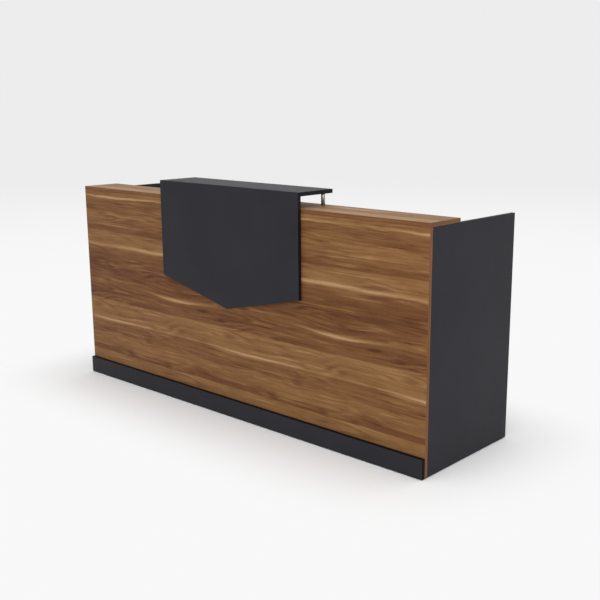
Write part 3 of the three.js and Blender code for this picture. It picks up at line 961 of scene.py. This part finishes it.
class DESK_OT_drawers(DeskOperator):
    """Dress the drawer fronts, the drawer boxes and the bow handles."""

    bl_idname = "desk.drawers"
    bl_label = "Drawers"

    def execute(self, context):
        for drawer in DRAWERS:
            body = f"{drawer}_drawer"
            dress_board(f"drawer_front_{drawer}", Y, walnut_board, body)
            self.dress_box(drawer, body)
            self.dress_handle(drawer, body)
        return {"FINISHED"}

    def dress_box(self, drawer, body):
        low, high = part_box(f"drawer_box_{drawer}")
        solid = bmesh.new()
        corners = ((0, 0), (1, 0), (1, 1), (0, 1))

        def level(inset, z):
            ends = [(low[a] + inset, high[a] - inset) for a in (X, Y)]
            return [solid.verts.new((ends[X][i], ends[Y][j], z)) for i, j in corners]

        outside = [level(0, low.z), level(0, high.z)]
        inside = [level(BOX_WALL, high.z), level(BOX_WALL, low.z + BOX_FLOOR)]
        rings = outside + inside
        solid.faces.new(rings[0])
        solid.faces.new(rings[-1])
        for under, over in zip(rings, rings[1:]):
            bridge(solid, under, over)
        box = make_piece(f"box_{drawer}", solid, [drawer_grey()])
        work_edges(box, sizes().rim_arris)
        settle(box, body, "drawer_grey", f"drawer_box_{drawer}")

    def dress_handle(self, drawer, body):
        low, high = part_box(f"drawer_handle_{drawer}")
        radius = (high.z - low.z) / 2
        side = (high.x - low.x) / 2 - radius
        reach = high.y - low.y - radius
        bend = HANDLE_BEND
        path = [(-side, 0.0)]
        for middle, first in ((-side + bend, math.pi), (side - bend, math.pi / 2)):
            for step in range(BEND_STEPS + 1):
                turn = first - math.pi / 2 * step / BEND_STEPS
                path.append((middle + bend * math.cos(turn), reach - bend + bend * math.sin(turn)))
        path.append((side, 0.0))
        solid = swept(path, radius, BAR_SIDES)
        for x in (-side, side):
            collar = turned_to(COLLAR_PROFILE, sizes().collar, sizes().collar_rise, FIXING_SIDES)
            collar.transform(Matrix.Translation((x, 0, 0)) @ Matrix.Rotation(-math.pi / 2, 4, "X"))
            merge(solid, collar)
        foot = ((low.x + high.x) / 2, low.y, (low.z + high.z) / 2)
        handle = make_piece(f"handle_{drawer}", solid, [polished_steel()], foot)
        smooth_below(handle, degrees=40)
        settle(handle, body, "polished_steel", f"drawer_handle_{drawer}")


def merge(solid, other):
    """Adds the second bmesh to the first, and frees it."""
    mesh = bpy.data.meshes.new("merged")
    other.to_mesh(mesh)
    other.free()
    solid.from_mesh(mesh)
    bpy.data.meshes.remove(mesh)


def swept(path, radius, sides):
    """A round bar along a path on XY, with closed ends."""
    solid = bmesh.new()
    rings = []
    for index, (x, y) in enumerate(path):
        before = Vector(path[max(index - 1, 0)])
        after = Vector(path[min(index + 1, len(path) - 1)])
        heading = (after - before).normalized()
        across = Vector((heading.y, -heading.x))
        points = []
        for out, up in ring((0, 0), radius, sides):
            points.append(solid.verts.new((x + out * across.x, y + out * across.y, up)))
        rings.append(points)
    for under, over in zip(rings, rings[1:]):
        bridge(solid, under, over)
    solid.faces.new(rings[0])
    solid.faces.new(rings[-1])
    return solid


def screw_head():
    """A pan head that stands on XY, with a cross recess."""
    radius, rise = sizes().screw_head, sizes().screw_rise
    crown = SCREW_CROWN * radius
    solid = turned_to(SCREW_PROFILE, radius, rise, FIXING_SIDES)
    solid.verts.ensure_lookup_table()
    shoulder = solid.verts[-FIXING_SIDES:]
    rim = [solid.verts.new((x, y, rise)) for x, y in ring((0, 0), crown, FIXING_SIDES)]
    bridge(solid, shoulder, rim)

    # A recess with four arms, each a quarter turn from the last, narrowing to its floor.
    arm, half = CROSS_REACH * crown, CROSS_HALF * crown
    quarter = [(arm, -half), (arm, half), (half, half)]
    cross = []
    for turn in range(4):
        for x, y in quarter:
            for step in range(turn):
                x, y = -y, x
            cross.append((x, y))
    mouth = [solid.verts.new((x, y, rise)) for x, y in cross]
    pit = [solid.verts.new((PIT_SIZE * x, PIT_SIZE * y, PIT_HEIGHT * rise)) for x, y in cross]
    edges = []
    for loop in (rim, mouth):
        for a, b in zip(loop, loop[1:] + loop[:1]):
            edges.append(solid.edges.get((a, b)) or solid.edges.new((a, b)))
    bmesh.ops.triangle_fill(solid, edges=edges, use_beauty=True)
    bridge(solid, mouth, pit)
    solid.faces.new(pit)
    return solid


def cover_cap():
    """A domed cap over a joint fitting, standing on XY."""
    return turned_to(CAP_PROFILE, sizes().cap_radius, sizes().cap_rise, CAP_SIDES)


def place_like(name, make, spots, finish, body, slot):
    """One piece with a copy of the made solid at each spot, (point, direction of its Z axis)."""
    solid = bmesh.new()
    for point, facing in spots:
        copy = make()
        turn = Vector(facing).to_track_quat("Z", "Y").to_matrix().to_4x4()
        copy.transform(Matrix.Translation(point) @ turn)
        merge(solid, copy)
    piece = make_piece(name, solid, [finish])
    smooth_below(piece, degrees=35)
    return settle(piece, body, slot)


class DESK_OT_hardware(DeskOperator):
    """Finish the brackets, runners, bolts and glides, and put in the screws."""

    bl_idname = "desk.hardware"
    bl_label = "Hardware"

    def execute(self, context):
        plated = ("bracket_", "runner_", "riser_bolt_")
        for name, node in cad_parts.items():
            if name.startswith(plated):
                self.refinish(node, zinc_steel())
            elif name.startswith("glide_"):
                self.refinish(node, black_plastic())
        for name, upper_leg in BRACKETS.items():
            self.screw_bracket(name, Vector(upper_leg))
        for drawer in DRAWERS:
            self.screw_front(drawer)
        return {"FINISHED"}

    def refinish(self, node, finish):
        for slot in node.material_slots:
            slot.material = finish

    def screw_bracket(self, name, out):
        """Two screws in each leg. The upper leg points out from the panel that carries it."""
        low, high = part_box(name)
        across = Vector((-out.y, out.x, 0))
        half = (high - low) / 2
        root = foot_of(name) - Vector((out.x * half.x, out.y * half.y, 0))
        root.z = high.z
        spots = []
        for offset in (-BRACKET_PITCH / 2, BRACKET_PITCH / 2):
            base = root + offset * across
            spots.append((base + BRACKET_GAUGE * out - Vector((0, 0, BRACKET_REACH)), out))
            spots.append((base + BRACKET_REACH * out - Vector((0, 0, BRACKET_GAUGE)), (0, 0, -1)))
        place_like(f"screws_{name}", screw_head, spots, zinc_steel(), "desk", "zinc_steel")

    def screw_front(self, drawer):
        """Screws through the front wall of a drawer box into the drawer front."""
        low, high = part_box(f"drawer_box_{drawer}")
        rows = [low.z + share * (high.z - low.z) for share in SCREW_ROWS[drawer]]
        middle = (low.x + high.x) / 2
        face = high.y - BOX_WALL
        spots = [((middle + x, face, z), (0, -1, 0)) for z in rows for x in (-FRONT_SCREWS, FRONT_SCREWS)]
        body = f"{drawer}_drawer"
        place_like(f"screws_front_{drawer}", screw_head, spots, zinc_steel(), body, "zinc_steel")


class DESK_OT_cover_caps(DeskOperator):
    """Put cover caps over the joint fittings on the inner faces of the panels."""

    bl_idname = "desk.cover_caps"
    bl_label = "Cover caps"

    def execute(self, context):
        setback = sizes().cap_setback
        for panel, side, heights, depths in CAPPED_PANELS:
            low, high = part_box(panel)
            x = high.x if side > 0 else low.x
            spots = [((x, low.y + setback, z), (side, 0, 0)) for z in heights]
            spots += [((x, low.y + y, high.z - setback), (side, 0, 0)) for y in depths]
            place_like(f"caps_{panel}", cover_cap, spots, black_plastic(), "desk", "black_plastic")
        return {"FINISHED"}


class DESK_OT_stage(DeskOperator):
    """Set the floor, the backdrop, the lights and the camera."""

    bl_idname = "desk.stage"
    bl_label = "Stage"

    def execute(self, context):
        scene = context.scene
        scene.view_settings.view_transform = "Standard"
        stage = scene.desk_stage
        self.add_floor(stage)
        self.add_world(scene, stage)
        for name in SUNS:
            self.add_sun(scene, stage, name)
        self.add_panel(scene, stage)
        self.add_camera(scene, stage)
        return {"FINISHED"}

    def add_floor(self, stage):
        solid = bmesh.new()
        rim = [solid.verts.new((x, y, 0)) for x, y in ring((0, 0), stage.floor_radius, FLOOR_SIDES)]
        solid.faces.new(rim)
        floor = make_piece("floor", solid, [self.floor_finish(stage)])

    def floor_finish(self, stage):
        """A pale floor that keeps the shadow round the desk, and shows as a plain colour further off."""
        tints = colours()
        material = bpy.data.materials.new("floor")
        material.use_nodes = True
        w = Wiring(material.node_tree)
        shader = material.node_tree.nodes["Principled BSDF"]
        output = material.node_tree.nodes["Material Output"]
        w.fill(shader.inputs, {
            "Base Color": opaque(tints.floor),
            "Roughness": 0.9,
            "Specular IOR Level": 0.1,
        })

        dimmed = w.mask(w.distance(w.point()), stage.floor_dim, stage.floor_radius)
        away = w.blend(dimmed, tints.floor_away, tints.backdrop)
        glow = w.node("ShaderNodeEmission", {"Color": away, "Strength": 1.0})

        # How far a point lies from the footprint of the desk, which is centred on the origin.
        half = (CAD_BOX[1] - CAD_BOX[0]) / 2
        offset = w.scaled(w.vector("ABSOLUTE", w.point()), (1, 1, 0), (-half.x, -half.y, 0))
        distance = w.distance(w.vector("MAXIMUM", offset, (0, 0, 0)))
        far = w.times(w.mask(distance, 0.0, stage.floor_fade), w.seen_directly())
        blend = w.node("ShaderNodeMixShader", {0: far, 1: shader.outputs[0], 2: glow.outputs[0]})
        w.put(blend.outputs[0], output.inputs["Surface"])
        return material

    def add_world(self, scene, stage):
        """Even light from all round, behind which the backdrop's colour is seen."""
        world = bpy.data.worlds.new("studio")
        world.use_nodes = True
        scene.world = world
        w = Wiring(world.node_tree)
        light = world.node_tree.nodes["Background"]
        w.fill(light.inputs, {"Color": (1, 1, 1, 1), "Strength": stage.ambient})
        seen = w.node("ShaderNodeBackground", {"Color": opaque(colours().backdrop), "Strength": 1.0})
        blend = w.node("ShaderNodeMixShader", {0: w.seen_directly(), 1: light.outputs[0], 2: seen.outputs[0]})
        w.put(blend.outputs[0], world.node_tree.nodes["World Output"].inputs["Surface"])

    def add_sun(self, scene, stage, name):
        tilt, turn = SUNS[name]
        lamp = bpy.data.lights.new(f"{name}_light", "SUN")
        lamp.energy = getattr(stage, name)
        lamp.angle = stage.softness
        self.link(scene, lamp, (0, 0, 0), (math.radians(tilt), 0, math.radians(turn)))

    def add_panel(self, scene, stage):
        lamp = bpy.data.lights.new("light_panel", "AREA")
        lamp.energy = stage.panel
        lamp.size = stage.panel_size
        aim = (CAD_BOX[0] + CAD_BOX[1]) / 2 - stage.panel_place
        self.link(scene, lamp, stage.panel_place, aim.to_track_quat("-Z", "Y").to_euler())

    def add_camera(self, scene, stage):
        lens = bpy.data.cameras.new("camera")
        lens.lens = stage.lens
        lens.sensor_width = SENSOR_WIDTH
        lens.shift_x = stage.shift
        scene.camera = self.link(scene, lens, stage.place, (math.pi / 2 - stage.tilt, 0, stage.turn))

    def link(self, scene, data, spot, turn):
        """Puts a light or the camera in the scene, under its own name."""
        thing = bpy.data.objects.new(data.name, data)
        thing.location = spot
        thing.rotation_euler = turn
        scene.collection.objects.link(thing)
        return thing


class DESK_PT_sidebar(bpy.types.Panel):
    """Steps and settings of the desk."""

    bl_idname = "DESK_PT_sidebar"
    bl_label = "Reception Desk"
    bl_space_type = "VIEW_3D"
    bl_region_type = "UI"
    bl_category = "Reception Desk"

    def draw(self, context):
        for operator in OPERATORS:
            self.layout.operator(operator.bl_idname)
        for name in SETTINGS:
            group = getattr(context.scene, name)
            column = self.layout.box().column()
            for key in group.bl_rna.properties.keys():
                if key not in ("rna_type", "name"):
                    column.prop(group, key)


OPERATORS = (
    DESK_OT_shell,
    DESK_OT_riser,
    DESK_OT_worktop,
    DESK_OT_ports,
    DESK_OT_bank,
    DESK_OT_drawers,
    DESK_OT_hardware,
    DESK_OT_cover_caps,
    DESK_OT_stage,
)
SETTINGS = {"desk_sizes": DeskSizes, "desk_colours": DeskColours, "desk_stage": DeskStage}
CLASSES = (*SETTINGS.values(), *OPERATORS, DESK_PT_sidebar)


def register():
    for item in CLASSES:
        bpy.utils.register_class(item)
    for name, group in SETTINGS.items():
        setattr(bpy.types.Scene, name, PointerProperty(type=group))


def unregister():
    for name in SETTINGS:
        delattr(bpy.types.Scene, name)
    for item in reversed(CLASSES):
        bpy.utils.unregister_class(item)


def main():
    register()
    bpy.ops.desk.shell()
    bpy.ops.desk.riser()
    bpy.ops.desk.worktop()
    bpy.ops.desk.ports()
    bpy.ops.desk.bank()
    bpy.ops.desk.drawers()
    bpy.ops.desk.hardware()
    bpy.ops.desk.cover_caps()
    bpy.ops.desk.stage()


if __name__ == "__main__":
    main()
